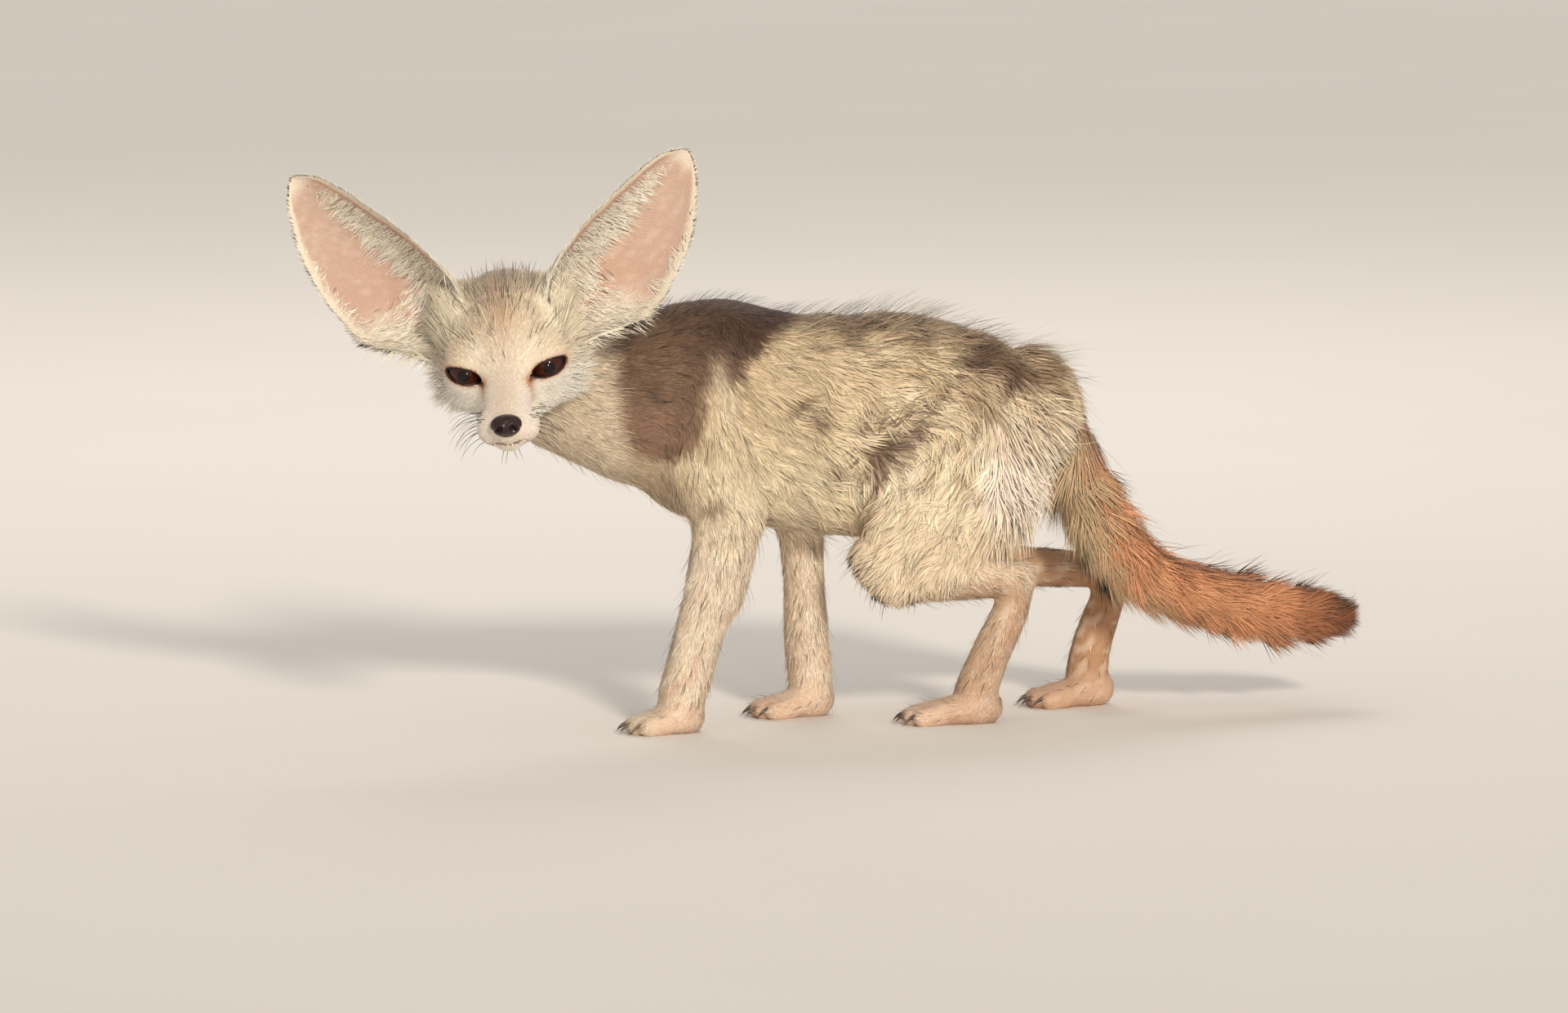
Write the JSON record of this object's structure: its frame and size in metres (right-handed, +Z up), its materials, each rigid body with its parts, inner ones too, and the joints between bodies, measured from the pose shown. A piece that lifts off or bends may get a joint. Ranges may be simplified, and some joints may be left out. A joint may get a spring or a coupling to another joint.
{
  "type": "fennec fox",
  "caption": "Small desert fox with very large ears and a full brush, modelled standing still at life size with its head turned to one side.",
  "frame": {"origin": "on the floor under the middle of the overall box", "axes": "+Z up; the spine runs along X with the head towards -X and the tail towards +X; the fox's left side faces -Y"},
  "size_m": [0.515, 0.16, 0.2752],
  "materials": {
    "fur_sand": "short dense coat, grey-brown and sand",
    "fur_cream": "short soft coat, cream",
    "fur_rust": "long coat, rusty orange",
    "ear_skin": "thin bare skin, matt",
    "eye": "wet and glossy, dark brown",
    "nose": "moist pebbled skin"
  },
  "bodies": {
    "root": {"ear_left": "ear_skin", "ear_right": "ear_skin", "eye_left": "eye", "eye_right": "eye", "foreleg_left": "fur_cream", "foreleg_right": "fur_cream", "forepaw_left": "fur_cream", "forepaw_right": "fur_cream", "head": "fur_cream", "hindleg_left": "fur_cream", "hindleg_right": "fur_cream", "hindpaw_left": "fur_cream", "hindpaw_right": "fur_cream", "neck": "fur_sand", "nose_pad": "nose", "tail_brush": "fur_rust", "tail_root": "fur_rust", "torso": "fur_sand"}
  },
  "joints": []
}
